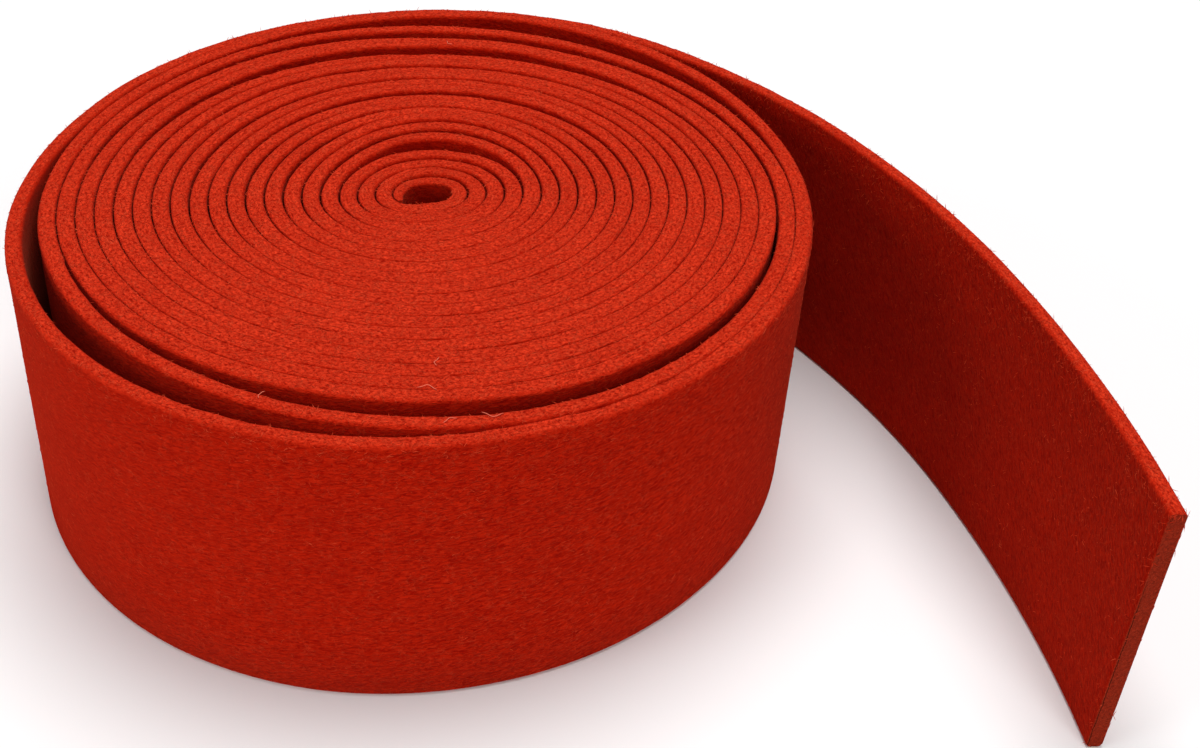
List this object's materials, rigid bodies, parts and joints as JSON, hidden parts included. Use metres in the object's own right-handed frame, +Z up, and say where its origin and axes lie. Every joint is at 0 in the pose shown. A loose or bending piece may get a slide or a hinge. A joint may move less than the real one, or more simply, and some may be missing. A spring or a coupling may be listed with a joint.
{
  "type": "roll of felt",
  "caption": "Roll of thick red felt strip standing on its cut edge, wound by hand, with its outer end standing loose beside it.",
  "frame": {"origin": "bottom centre of the box that the roll and its loose end fill", "axes": "+Z up along the roll's winding axis, +X towards the side on which the loose end stands"},
  "size_m": [0.181, 0.1358, 0.05],
  "materials": {
    "felt": "matte"
  },
  "bodies": {
    "root": {"felt_roll": "felt"}
  },
  "joints": []
}
